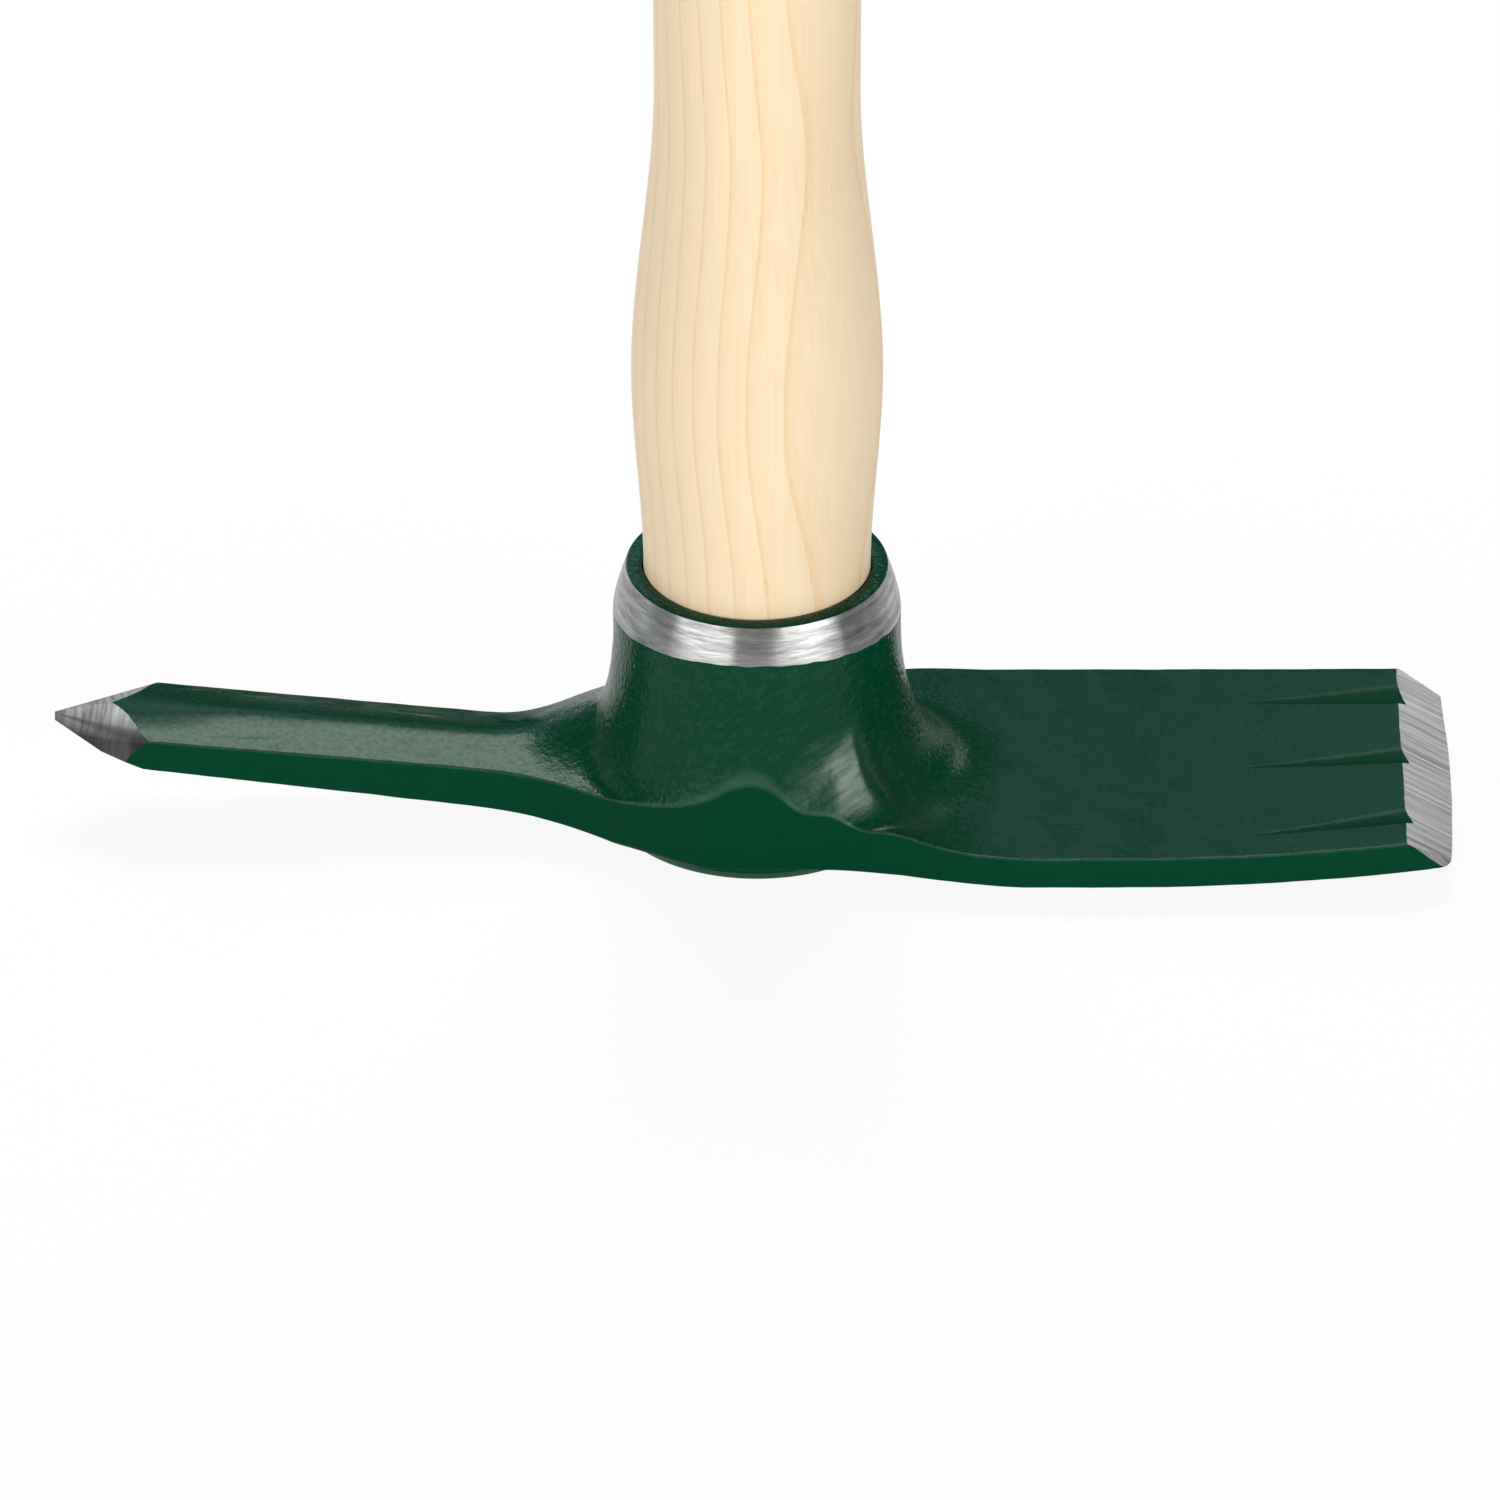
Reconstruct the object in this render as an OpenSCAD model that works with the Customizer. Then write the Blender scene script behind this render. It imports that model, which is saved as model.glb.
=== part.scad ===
// Hand mattock: a forged head with a pick point and a cutting blade, on a turned ash handle.
// Millimetres. The origin is the centre of the eye's lower face. +Z runs up the handle,
// +X towards the blade and -X towards the pick.

/* [Eye] */
// Height of the eye, from the boss's lower face to the rim
eye_h = 46; // [40:0.5:60]
// Bore of the eye just inside its mouth, where the handle goes in
eye_mouth_d = 37.3; // [32:0.1:44]
// Bore of the eye at its waist, its narrowest place
eye_waist_d = 36.6; // [31:0.1:37]
// Bore of the eye at its foot, where the wedges spread the wood
eye_foot_d = 39; // [37:0.1:41]
// Height of the waist above the eye's lower face
eye_waist_z = 21; // [12:0.5:32]
// Radial lead-in at the mouth
mouth_lead = 0.1; // [0.05:0.05:0.8]
// Depth of the lead-in
mouth_lead_h = 4; // [2:0.5:8]
// Width of the flat lip around the mouth
lip_w = 2.65; // [1.5:0.05:3.5]
// Wall of the collar, from the mouth's bore to the outside
collar_wall = 4.9; // [4:0.1:8]
// Height of the band ground bright under the lip
band_h = 6.6; // [4:0.1:10]
// Drop of the boss below the underside of the bar
boss_drop = 2.3; // [1:0.1:6]
// Rounding at the boss's lower edge
boss_round = 1.4; // [0.6:0.1:2]

/* [Bar] */
// Thickness of the bar that passes the eye
bar_t = 7; // [5:0.1:12]
// Width of each cheek outside the collar
cheek_w = 1.45; // [0.8:0.05:5]
// Height on the collar where the fillet starts
fillet_z = 34.2; // [28:0.2:37]
// Reach of the fillet over the cheeks
fillet_cheek = 6.8; // [4:0.1:12]
// Reach of the fillet along the pick
fillet_pick = 17; // [10:0.5:24]
// Reach of the fillet along the blade
fillet_blade = 21; // [10:0.5:24]

/* [Pick] */
// Distance of the point from the eye's axis
pick_reach = 115.4; // [90:0.5:160]
// Width of the pick behind its ground point
pick_w = 19.6; // [14:0.1:26]
// Width of the pick at its neck
neck_w = 19.2; // [12:0.1:24]
// Length of the flare from the neck to the collar
pick_flare = 29.5; // [14:0.5:36]
// Rise of the pick's upper face, in degrees
pick_top_angle = 5.67; // [2:0.01:10]
// Rise of the pick's underside, in degrees
pick_under_angle = 7.58; // [4:0.01:9]
// Height of the soft ridge along the pick
pick_crown = 1.8; // [0.4:0.1:3]
// Height of the point above the underside of the bar there
point_z = 2.4; // [1.5:0.1:4]
// Half angle of the ground point in plan, in degrees
point_angle = 33.2; // [24:0.1:50]
// Lean of the point's side facets, in degrees
point_lean = 14; // [4:0.5:24]
// Fall of the point's upper facets towards the tip, in degrees
point_top_angle = 12.8; // [6:0.1:24]
// Fall of the point's upper facets to the sides, in degrees
point_roof_angle = 14.3; // [6:0.1:30]
// Rise of the point's lower facet towards the tip, in degrees
point_under_angle = 16.7; // [10:0.1:30]

/* [Blade] */
// Distance of the cutting edge from the eye's axis
blade_reach = 114; // [90:0.5:160]
// Widest width of the blade
blade_w = 62; // [50:0.5:90]
// Width of the blade at the cutting edge
edge_w = 55.6; // [40:0.2:80]
// Bow of the cutting edge
edge_bow = 0.8; // [0.2:0.1:6]
// Rounding of the edge's two corners
edge_corner_r = 2.4; // [1:0.1:6]
// Thickness of the blade
blade_t = 5.4; // [4:0.1:8]
// Height of the blade's underside above the eye's lower face
blade_z = 2.56; // [1:0.02:5]
// Upward sweep of the blade at the cutting edge
blade_rise = 2.1; // [0:0.1:8]
// Length of the flare from the collar to the blade's full width
blade_flare = 21.5; // [12:0.5:34]
// Distance from the axis where the blade starts to narrow and sweep up
blade_taper_x = 58; // [50:0.5:80]
// Length of the ground bevel
bevel_l = 8.1; // [5:0.1:16]
// Thickness left at the cutting edge
edge_t = 0.45; // [0.2:0.05:1]
// Number of forged grooves in the blade's upper face
groove_n = 3; // [1:1:4]
// Spacing of the grooves at the bevel
groove_pitch = 19.3; // [12:0.1:20]
// Shift of the groove pattern towards the near side
groove_shift = 1.5; // [0:0.1:6]
// Spread of the outer grooves, in degrees
groove_fan = 4.5; // [0:0.1:8]
// Length of the grooves
groove_l = 27; // [10:0.5:40]
// Depth of the grooves at the bevel
groove_depth = 0.75; // [0.3:0.05:1.5]
// Slope of a groove's long flank, in degrees
groove_long_angle = 5.5; // [3:0.1:12]
// Slope of a groove's short flank, in degrees
groove_short_angle = 33; // [20:1:50]

/* [Handle] */
// Height of the handle's end above the eye's lower face
handle_top = 390; // [320:1:480]
// Diameter at the swell above the eye
swell_d = 40.86; // [38:0.1:48]
// Height of the swell
swell_z = 82; // [70:1:100]
// Diameter at the slim neck above the swell
slim_d = 33.2; // [28:0.1:38]
// Height where the slim neck starts
slim_z = 134; // [120:1:150]
// Diameter at the grip's belly
belly_d = 35.4; // [30:0.1:40]
// Height of the grip's belly
belly_z = 238; // [200:1:260]
// Diameter at the waist before the end knob
grip_waist_d = 31.8; // [27:0.1:36]
// Height of that waist
grip_waist_z = 330; // [280:1:345]
// Diameter of the end knob
knob_d = 37.6; // [33:0.1:46]
// Rounding of the handle's end
knob_round = 9; // [4:0.5:14]

/* [Wedges] */
// Clearance between wood, wedges and steel
fit_gap = 0.1; // [0.05:0.05:0.2]
// Set-back of the wood and wedges from the eye's lower face
flush_gap = 0.5; // [0.2:0.1:1.5]
// Thickness of the wooden wedge at its thick end
wedge_t = 5; // [3:0.1:8]
// Thickness of the wooden wedge at its thin end
wedge_tip_t = 1.6; // [1:0.1:2.5]
// Length of the wooden wedge
wedge_l = 30; // [22:0.5:36]
// Empty length of the saw kerf above the wedge
kerf_spare = 3; // [1:0.5:6]
// Outer diameter of the steel ring wedge at its thick end
ring_d = 23; // [16:0.2:30]
// Wall of the ring wedge at its thick end
ring_t = 2.4; // [1.5:0.1:4]
// Wall of the ring wedge at its thin end
ring_tip_t = 0.5; // [0.3:0.1:1]
// Height of the ring wedge
ring_h = 18; // [10:0.5:20]

/* [Hidden] */
$fn = 96;

paint_green = [0.05, 0.25, 0.16];
bare_ash = [0.93, 0.84, 0.69];
wedge_wood = [0.72, 0.55, 0.36];
ring_steel = [0.6, 0.6, 0.62];

// Room that a cutter takes beyond what it cuts
over = 1;

// Collar and bar, worked out from the eye
mouth_r = eye_mouth_d / 2 + mouth_lead;
collar_r = eye_mouth_d / 2 + collar_wall;
lip_r = mouth_r + lip_w;
cheek_half = collar_r + cheek_w;
neck_x = collar_r + pick_flare;
blade_root_x = collar_r + blade_flare;
bar_top_z = boss_drop + bar_t;
blade_top_z = blade_z + blade_t;

// Where the pick, the blade and the cheeks leave the level bar, as shares of the collar
pick_top_x = 0.6 * collar_r;
pick_under_x = 0.9 * collar_r;
cheek_pick_x = 0.25 * collar_r;
cheek_blade_x = 0.43 * collar_r;
shoulder_x = pick_reach - pick_w / 2 / tan(point_angle);

// Shape of the pick's soft ridge: 0 would be a sharp roof
ridge_soft = 0.2;

// Shape of the pick's flare: a higher power widens it later, closer to the collar
flare_power = 2;

// Counts of the head's surface net
band_rings = 4;
fillet_rings = 9;
arm_rings = 7;
under_rings = 5;
end_steps = 3;
corner_steps = 3;
blade_steps = 9;
blade_flare_steps = 10;
cheek_steps = 6;
pick_flare_steps = 14;
pick_steps = 8;
point_steps = 4;

function mix(a, b, t) = a + (b - a) * t;
function clamp(t) = max(0, min(1, t));
function smooth(t) = clamp(t) * clamp(t) * (3 - 2 * clamp(t));
function share(x, a, b) = (x - a) / (b - a);

// Half the width of the head at a distance x along it
function half_width(x) =
    x > blade_taper_x ? mix(blade_w, edge_w, pow(share(x, blade_taper_x, blade_reach), 2)) / 2 :
    x > cheek_blade_x ? mix(cheek_half, blade_w / 2, smooth(share(x, cheek_blade_x, blade_root_x))) :
    x > -neck_x ? mix(neck_w / 2, cheek_half, pow(smooth(share(x, -neck_x, -cheek_pick_x)), flare_power)) :
    mix(neck_w / 2, pick_w / 2, smooth(share(-x, neck_x, shoulder_x)));

// Rise of the swept blade
function sweep(x) = blade_rise * pow(max(0, share(x, blade_taper_x, blade_reach)), 2);

// Height of the bar's upper and lower edges
function bar_top(x) =
    x < -pick_top_x ? bar_top_z + (-x - pick_top_x) * tan(pick_top_angle) :
    mix(bar_top_z, blade_top_z, smooth(share(x, -pick_top_x, blade_root_x))) + sweep(x);
function bar_under(x) =
    x < -pick_under_x ? boss_drop + (-x - pick_under_x) * tan(pick_under_angle) :
    mix(boss_drop, blade_z, smooth(share(x, 0, blade_root_x))) + sweep(x);

// Soft ridge along the pick, highest on its centre line
function soft_roof(v) =
    1 - (sqrt(v * v + ridge_soft * ridge_soft) - ridge_soft)
    / (sqrt(1 + ridge_soft * ridge_soft) - ridge_soft);
function crown(x, y) =
    x > -collar_r ? 0 :
    pick_crown * smooth(share(-x, collar_r, neck_x)) * soft_roof(y / half_width(x));

// Elliptical fillet of the given reach and height, at a distance d from the wall
function fillet(d, reach, height) =
    height * (1 - sqrt(1 - pow(1 - clamp(d / reach), 2)));
function fillet_reach(a) =
    cos(a) > 0 ? mix(fillet_cheek, fillet_blade, pow(cos(a), 2)) :
    mix(fillet_cheek, fillet_pick, pow(cos(a), 6));

// Height of the upper face at a distance r from the axis, in direction a
function top_height(r, a) =
    let (x = r * cos(a), y = r * sin(a), wall_x = collar_r * cos(a))
    bar_top(x) + crown(x, y) + fillet(r - collar_r, fillet_reach(a), fillet_z - bar_top(wall_x));
function under_height(r, a) =
    bar_under(r * cos(a)) - fillet(r - collar_r, boss_round, boss_drop / 2);

// Far half of the head's outline in plan, from the cutting edge to the point's end
edge_half = half_width(blade_reach - edge_corner_r);
edge_flat = edge_half - edge_corner_r;
blank_end_x = -pick_reach - over;
function bow(y) = edge_bow * pow(y / edge_half, 2);
function spaced(a, b, n) = [for (k = [1:n]) mix(a, b, k / n)];
corner_x = blade_reach - bow(edge_flat) - edge_corner_r;
side_x = concat(
    spaced(corner_x, blade_root_x, blade_steps),
    spaced(blade_root_x, cheek_blade_x, blade_flare_steps),
    spaced(cheek_blade_x, -cheek_pick_x, cheek_steps),
    spaced(-cheek_pick_x, -neck_x, pick_flare_steps),
    spaced(-neck_x, -shoulder_x, pick_steps),
    spaced(-shoulder_x, blank_end_x, point_steps));
far_side = concat(
    [for (k = [0:end_steps]) let (y = edge_flat * k / end_steps) [blade_reach - bow(y), y]],
    [for (k = [1:corner_steps]) let (a = 90 * k / corner_steps)
        [corner_x + edge_corner_r * cos(a), edge_flat + edge_corner_r * sin(a)]],
    [for (x = side_x) [x, half_width(x)]],
    [for (k = [end_steps - 1:-1:0]) [blank_end_x, half_width(blank_end_x) * k / end_steps]]);
far_n = len(far_side);
outline = concat(far_side, [for (k = [far_n - 2:-1:1]) [far_side[k].x, -far_side[k].y]]);
outline_n = len(outline);

// One meridian of the head: from above the lip, down the band, collar and fillet,
// out along the upper face, back along the underside and down the boss
function meridian(p) =
    let (a = atan2(p.y, p.x), reach = norm(p) - collar_r, foot = min(fillet_reach(a), reach / 2))
    concat(
        [for (k = [-1:band_rings]) let (t = k / band_rings)
            [collar_r - (collar_r - lip_r) * pow(1 - t, 2), eye_h - band_h * t]],
        [[collar_r, fillet_z]],
        [for (k = [1:fillet_rings]) let (r = collar_r + foot * (1 - cos(90 * k / fillet_rings)))
            [r, top_height(r, a)]],
        [for (d = spaced(foot, reach, arm_rings)) [collar_r + d, top_height(collar_r + d, a)]],
        [for (k = [under_rings:-1:0]) let (r = collar_r + reach * pow(k / under_rings, 2))
            [r, under_height(r, a)]],
        [[collar_r - boss_round / 4, boss_round / 4], [collar_r - boss_round, -boss_round / 4]]);
rings_n = len(meridian(outline[0]));

// The forged blank as one closed net, before grinding
module blank() {
    points = concat(
        [for (p = outline) let (a = atan2(p.y, p.x))
            for (m = meridian(p)) [m[0] * cos(a), m[0] * sin(a), m[1]]],
        [[0, 0, eye_h + over], [0, 0, -over]]);
    top_centre = outline_n * rings_n;
    under_centre = top_centre + 1;
    walls = [for (i = [0:outline_n - 1]) let (a = i * rings_n, b = ((i + 1) % outline_n) * rings_n)
        for (k = [0:rings_n - 2]) each [[a + k, b + k, b + k + 1], [a + k, b + k + 1, a + k + 1]]];
    caps = [for (i = [0:outline_n - 1]) let (a = i * rings_n, b = ((i + 1) % outline_n) * rings_n)
        each [[top_centre, b, a], [under_centre, a + rings_n - 1, b + rings_n - 1]]];
    polyhedron(points = points, faces = concat(walls, caps));
}

// Radius of the eye's bore at a height z
function eye_bore(z) =
    z > eye_h - mouth_lead_h ? eye_mouth_d / 2 + mouth_lead * share(z, eye_h - mouth_lead_h, eye_h) :
    z > eye_waist_z ? mix(eye_waist_d, eye_mouth_d, share(z, eye_waist_z, eye_h - mouth_lead_h)) / 2 :
    mix(eye_foot_d, eye_waist_d, share(z, 0, eye_waist_z)) / 2;

module eye() {
    heights = [-2 * over, eye_waist_z, eye_h - mouth_lead_h, eye_h + 2 * over];
    rotate_extrude()
        polygon(concat([for (z = heights) [eye_bore(z), z]], [[0, eye_h + 2 * over], [0, -2 * over]]));
}

// Block above the plane z = 0, centred on the Z axis, that cuts what lies in it
module half_space(size) {
    translate([-size / 2, -size / 2, 0])
        cube(size);
}

// Ground facets of the pick's point
module point_facets() {
    point_top = bar_under(-pick_reach) + point_z;
    cut_size = 4 * (pick_reach - shoulder_x);
    for (side = [0, 1])
        mirror([0, side, 0]) {
            translate([-pick_reach, 0, point_top])
                rotate([point_roof_angle, -point_top_angle, 0])
                    half_space(cut_size);
            translate([-pick_reach, 0, point_top])
                rotate([90 - point_lean, 0, -point_angle])
                    half_space(cut_size);
        }
    translate([-pick_reach, 0, bar_under(-pick_reach) + point_z / 2])
        rotate([180, point_under_angle, 0])
            half_space(cut_size);
}

// Ground bevel of the cutting edge
bevel_x = blade_reach - bevel_l;
bevel_fall = bar_top(bevel_x) - bar_under(blade_reach) - edge_t;
module bevel() {
    translate([bevel_x, 0, bar_top(bevel_x)])
        rotate([0, atan(bevel_fall / bevel_l), 0])
            half_space(2 * blade_w);
}

// One forged groove: a long flank and a short one, running out towards the eye
module groove() {
    start_x = bevel_x - groove_l;
    dive = bar_top(start_x) - bar_top(bevel_x) + groove_depth;
    height = blade_t;
    translate([bevel_x, 0, bar_top(bevel_x) - groove_depth])
        rotate([0, atan(dive / groove_l), 0])
            translate([-groove_l - over, 0, 0])
                rotate([90, 0, 90])
                    linear_extrude(groove_l + bevel_l + 2 * over)
                        polygon([[0, 0], [height / tan(groove_long_angle), height],
                            [-height / tan(groove_short_angle), height]]);
}

module grooves() {
    for (k = [0:groove_n - 1]) {
        place = k - (groove_n - 1) / 2;
        translate([bevel_x, groove_pitch * place - groove_shift, 0])
            rotate([0, 0, -groove_fan * place])
                translate([-bevel_x, 0, 0])
                    groove();
    }
}

// Forged steel head: eye, pick and blade in one piece, painted, with ground point, band and bevel
module head() {
    color(paint_green)
        difference() {
            blank();
            eye();
            translate([0, 0, eye_h])
                half_space(4 * collar_r);
            rotate([180, 0, 0])
                half_space(4 * collar_r);
            point_facets();
            bevel();
            grooves();
        }
}

// Radius of the handle at a height z above the eye
function handle_r(z) =
    z < swell_z ? mix(eye_mouth_d / 2 - fit_gap, swell_d / 2, smooth(share(z, eye_h, swell_z))) :
    z < slim_z ? mix(swell_d, slim_d, smooth(share(z, swell_z, slim_z))) / 2 :
    z < belly_z ? mix(slim_d, belly_d, smooth(share(z, slim_z, belly_z))) / 2 :
    z < grip_waist_z ? mix(belly_d, grip_waist_d, smooth(share(z, belly_z, grip_waist_z))) / 2 :
    mix(grip_waist_d, knob_d, smooth(share(z, grip_waist_z, handle_top - knob_round))) / 2;

// Wood of the handle before it is sawn for the wedges
module turned_wood() {
    grip_steps = 10;
    round_steps = 6;
    stations = [eye_h, swell_z, slim_z, belly_z, grip_waist_z, handle_top - knob_round];
    eye_z = [flush_gap, eye_waist_z, eye_h - mouth_lead_h];
    shank_z = [for (k = [0:len(stations) - 2]) each spaced(stations[k], stations[k + 1], grip_steps)];
    rotate_extrude()
        polygon(concat(
            [[0, flush_gap]],
            [for (z = eye_z) [eye_bore(z) - fit_gap, z]],
            [[handle_r(eye_h), eye_h]],
            [for (z = shank_z) [handle_r(z), z]],
            [for (k = [1:round_steps]) let (a = 90 * k / round_steps)
                [knob_d / 2 - knob_round * (1 - cos(a)), handle_top - knob_round * (1 - sin(a))]],
            [[0, handle_top]]));
}

// Section of the wooden wedge, or of its kerf with the fit clearance added
module wedge_section(gap, spare) {
    polygon([[-wedge_t / 2 - gap, -over], [wedge_t / 2 + gap, -over],
        [wedge_tip_t / 2 + gap, wedge_l + spare], [-wedge_tip_t / 2 - gap, wedge_l + spare]]);
}

// The section run right across the eye, along X
module wedge_bar(gap, spare) {
    translate([-eye_foot_d, 0, flush_gap])
        rotate([90, 0, 90])
            linear_extrude(2 * eye_foot_d)
                wedge_section(gap, spare);
}

// Section of the ring wedge, or of its seat with the fit clearance added
module ring_solid(gap, below) {
    middle_r = ring_d / 2 - ring_t / 2;
    foot = ring_t / 2 + gap;
    tip = ring_tip_t / 2 + gap;
    translate([0, 0, flush_gap])
        rotate_extrude()
            polygon([[middle_r - foot, -below], [middle_r + foot, -below],
                [middle_r + tip, ring_h + gap], [middle_r - tip, ring_h + gap]]);
}

// Turned ash handle, kerfed and grooved at its end for the wedges
module handle() {
    color(bare_ash)
        difference() {
            turned_wood();
            wedge_bar(fit_gap, kerf_spare);
            ring_solid(fit_gap, over);
        }
}

// Hardwood wedge driven into the kerf, cut round by the eye
module wooden_wedge() {
    color(wedge_wood)
        difference() {
            intersection() {
                turned_wood();
                wedge_bar(0, 0);
            }
            ring_solid(fit_gap, over);
        }
}

// Steel ring wedge driven into the end grain, across the wooden wedge
module ring_wedge() {
    color(ring_steel)
        ring_solid(0, 0);
}

head();
handle();
wooden_wedge();
ring_wedge();
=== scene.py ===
"""A hand mattock: a forged, painted steel head on a turned ash handle that is wedged in its eye."""

import math

import bmesh
import bpy
import numpy as np
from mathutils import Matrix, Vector, noise


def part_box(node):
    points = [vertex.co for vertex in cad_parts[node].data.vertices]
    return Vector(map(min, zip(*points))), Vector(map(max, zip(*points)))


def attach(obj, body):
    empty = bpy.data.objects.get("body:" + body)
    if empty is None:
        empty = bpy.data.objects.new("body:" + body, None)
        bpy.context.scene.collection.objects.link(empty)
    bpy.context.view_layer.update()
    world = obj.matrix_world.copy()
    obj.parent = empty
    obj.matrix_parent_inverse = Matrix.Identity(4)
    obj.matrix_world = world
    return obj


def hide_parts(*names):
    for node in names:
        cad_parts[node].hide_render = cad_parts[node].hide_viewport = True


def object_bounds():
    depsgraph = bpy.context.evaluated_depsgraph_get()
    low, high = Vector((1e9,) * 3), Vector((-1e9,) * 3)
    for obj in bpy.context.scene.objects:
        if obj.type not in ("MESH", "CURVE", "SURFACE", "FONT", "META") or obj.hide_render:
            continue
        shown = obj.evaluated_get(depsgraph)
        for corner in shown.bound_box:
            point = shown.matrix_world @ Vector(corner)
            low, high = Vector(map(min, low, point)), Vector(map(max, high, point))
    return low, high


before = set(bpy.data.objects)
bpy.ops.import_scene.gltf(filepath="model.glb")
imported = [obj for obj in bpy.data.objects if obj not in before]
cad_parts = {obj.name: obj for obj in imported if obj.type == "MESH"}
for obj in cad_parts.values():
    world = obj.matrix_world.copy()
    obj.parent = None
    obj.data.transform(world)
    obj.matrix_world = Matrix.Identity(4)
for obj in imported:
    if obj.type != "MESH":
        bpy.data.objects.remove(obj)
cad_low, cad_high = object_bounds()


# Viewpoint
# A long lens a little under three metres away, square to the head's long side, that looks
# down on the tool so that the head fills the picture's width and the handle runs out of it.
scene = bpy.context.scene
mm = 0.001
view_distance = 2800 * mm
view_width = 246.3 * mm
view_target = Vector((-1.15, 0, 10.5)) * mm
view_tilt = math.radians(30.4)
lens_data = bpy.data.cameras.new("viewpoint")
lens_data.lens = lens_data.sensor_width * view_distance / view_width
lens_data.clip_end = 10 * view_distance
viewpoint = bpy.data.objects.new("viewpoint", lens_data)
viewpoint.location = view_target + view_distance * Vector((0, -math.cos(view_tilt), math.sin(view_tilt)))
viewpoint.rotation_euler = (math.pi / 2 - view_tilt, 0, 0)
scene.collection.objects.link(viewpoint)
scene.camera = viewpoint


# Head
# One drop forging of carbon steel: a round eye with a flat bar through its foot, drawn out
# into a pick on one side and a wide blade on the other. It is dipped in dark green paint,
# and the point, the band under the eye's lip and the blade's bevel are then ground bright.
_, head_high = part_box("head")

# Eye, with its lip, band and foot
eye_height = head_high.z
mouth_r = 18.75 * mm
throat_r = 18.65 * mm
waist_r = 18.3 * mm
foot_r = 19.5 * mm
waist_z = 21 * mm
throat_z = 42 * mm
lip_width = 2.65 * mm
lip_round = 0.35 * mm
collar_r = 23.55 * mm
band_mean_h = 7 * mm
band_wave = 0.97 * mm
band_power = 1.3
band_ragged = 0.25 * mm
band_rags = 9
boss_r = 24 * mm
boss_drop = 2.3 * mm
boss_fillet = 1 * mm
boss_round = 0.4 * mm

# Bar through the foot, and the fillets that join it to the collar. A direction's share along
# the head is 1 towards the blade, and its share across is 1 towards the far side.
bar_top_z = 9.3 * mm
cheek_half = 25 * mm
fillet_z_pick = 35 * mm
fillet_z_blade = 34.2 * mm
fillet_cheek = 5.4 * mm
fillet_gable = 2 * mm
gable_along = -0.27
gable_spread = 0.3
fillet_wall = 3.2 * mm
fillet_near = 7.5 * mm
fillet_blade = 18 * mm
fillet_blade_power = 3.5
fillet_foot_power = 3
soft_foot_from, soft_foot_to = 0.1, 0.6
fillet_wall_power = 4
far_side_from, far_side_to = -0.35, 0.05
near_corner_from, near_corner_to = 0.4, 0.8
arm_share = 0.6
ramp_height = 9.5 * mm
ramp_reach = 20 * mm
ramp_far_from, ramp_far_to = -0.5, 0.15
near_ramp_share = 0.15
near_ramp_reach = 11 * mm

# Web between the collar and the blade's near edge
web_top = Vector((14.9, -20, 23)) * mm
web_fall_along = -0.8
web_fall_across = 2.38
web_soft = 4.5 * mm
web_fade_from, web_fade_to = math.radians(-79), math.radians(-58)
crest_from, crest_to = math.radians(-54), math.radians(-34)
crest_power = 1.3
apron_height = 1.8 * mm
apron_x = 21 * mm
apron_spread = 8 * mm
apron_from_y, apron_to_y = 8 * mm, 26 * mm

# Pick
pick_reach = 115.4 * mm
pick_half = 9.8 * mm
neck_half = 9.6 * mm
neck_x = 53 * mm
neck_power = 2
pick_top_x = 14.13 * mm
pick_under_x = 23.5 * mm
pick_top_slope = math.tan(math.radians(5.67))
pick_under_slope = math.tan(math.radians(7.58))
pick_crown = 1.9 * mm
point_crown = 1.15 * mm
crown_from_x = 0.9 * collar_r
crown_full_x = 1.5 * collar_r
crown_fall_x = 80 * mm
ridge_soft = 0.2
shoulder_x = 100.4 * mm

# Blade
blade_reach = head_high.x
blade_half = head_high.y
edge_half = 27.8 * mm
edge_bow = 0.8 * mm
edge_corner_r = 2.4 * mm
blade_under_z = 2.56 * mm
blade_top_z = 7.96 * mm
blade_rise = 2.1 * mm
blade_root_x = 45.05 * mm
far_root_x = 30 * mm
blade_taper_x = 58 * mm
cheek_blade_x = 10.13 * mm
far_cheek_x = 0 * mm
cheek_pick_x = 5.9 * mm

# Rounding of the edges, which is greater at the cheeks
upper_round = 0.35 * mm
cheek_round = 0.6 * mm
cheek_round_x = -3 * mm
cheek_round_spread = 7 * mm
lower_round = 0.35 * mm
cheek_lower_round = 1.5 * mm
cheek_lower_x = -17 * mm
cheek_lower_spread = 9 * mm
least_facing = 0.2


def mix(a, b, t):
    return a + (b - a) * t


def share(x, a, b):
    return (x - a) / (b - a)


def smooth(t):
    t = np.clip(t, 0, 1)
    return t * t * (3 - 2 * t)


def bulge(x, middle, spread):
    return np.exp(-((x - middle) / spread) ** 2)


def half_width(x, flare_from=cheek_blade_x, flare_to=blade_root_x):
    """Half the head's width at a distance x along it, which flares from the cheek to the blade"""
    narrowing = mix(blade_half, edge_half, share(x, blade_taper_x, blade_reach) ** 2)
    flare = mix(cheek_half, blade_half, smooth(share(x, flare_from, flare_to)))
    neck = mix(neck_half, cheek_half, smooth(share(x, -neck_x, -cheek_pick_x)) ** neck_power)
    pick = mix(neck_half, pick_half, smooth(share(-x, neck_x, shoulder_x)))
    return np.select([x > blade_taper_x, x > flare_from, x > -neck_x], [narrowing, flare, neck], pick)


def sweep(x):
    return blade_rise * np.maximum(0, share(x, blade_taper_x, blade_reach)) ** 2


def bar_top(x):
    level = mix(bar_top_z, blade_top_z, smooth(share(x, -pick_top_x, blade_root_x))) + sweep(x)
    return np.where(x < -pick_top_x, bar_top_z + (-x - pick_top_x) * pick_top_slope, level)


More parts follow.
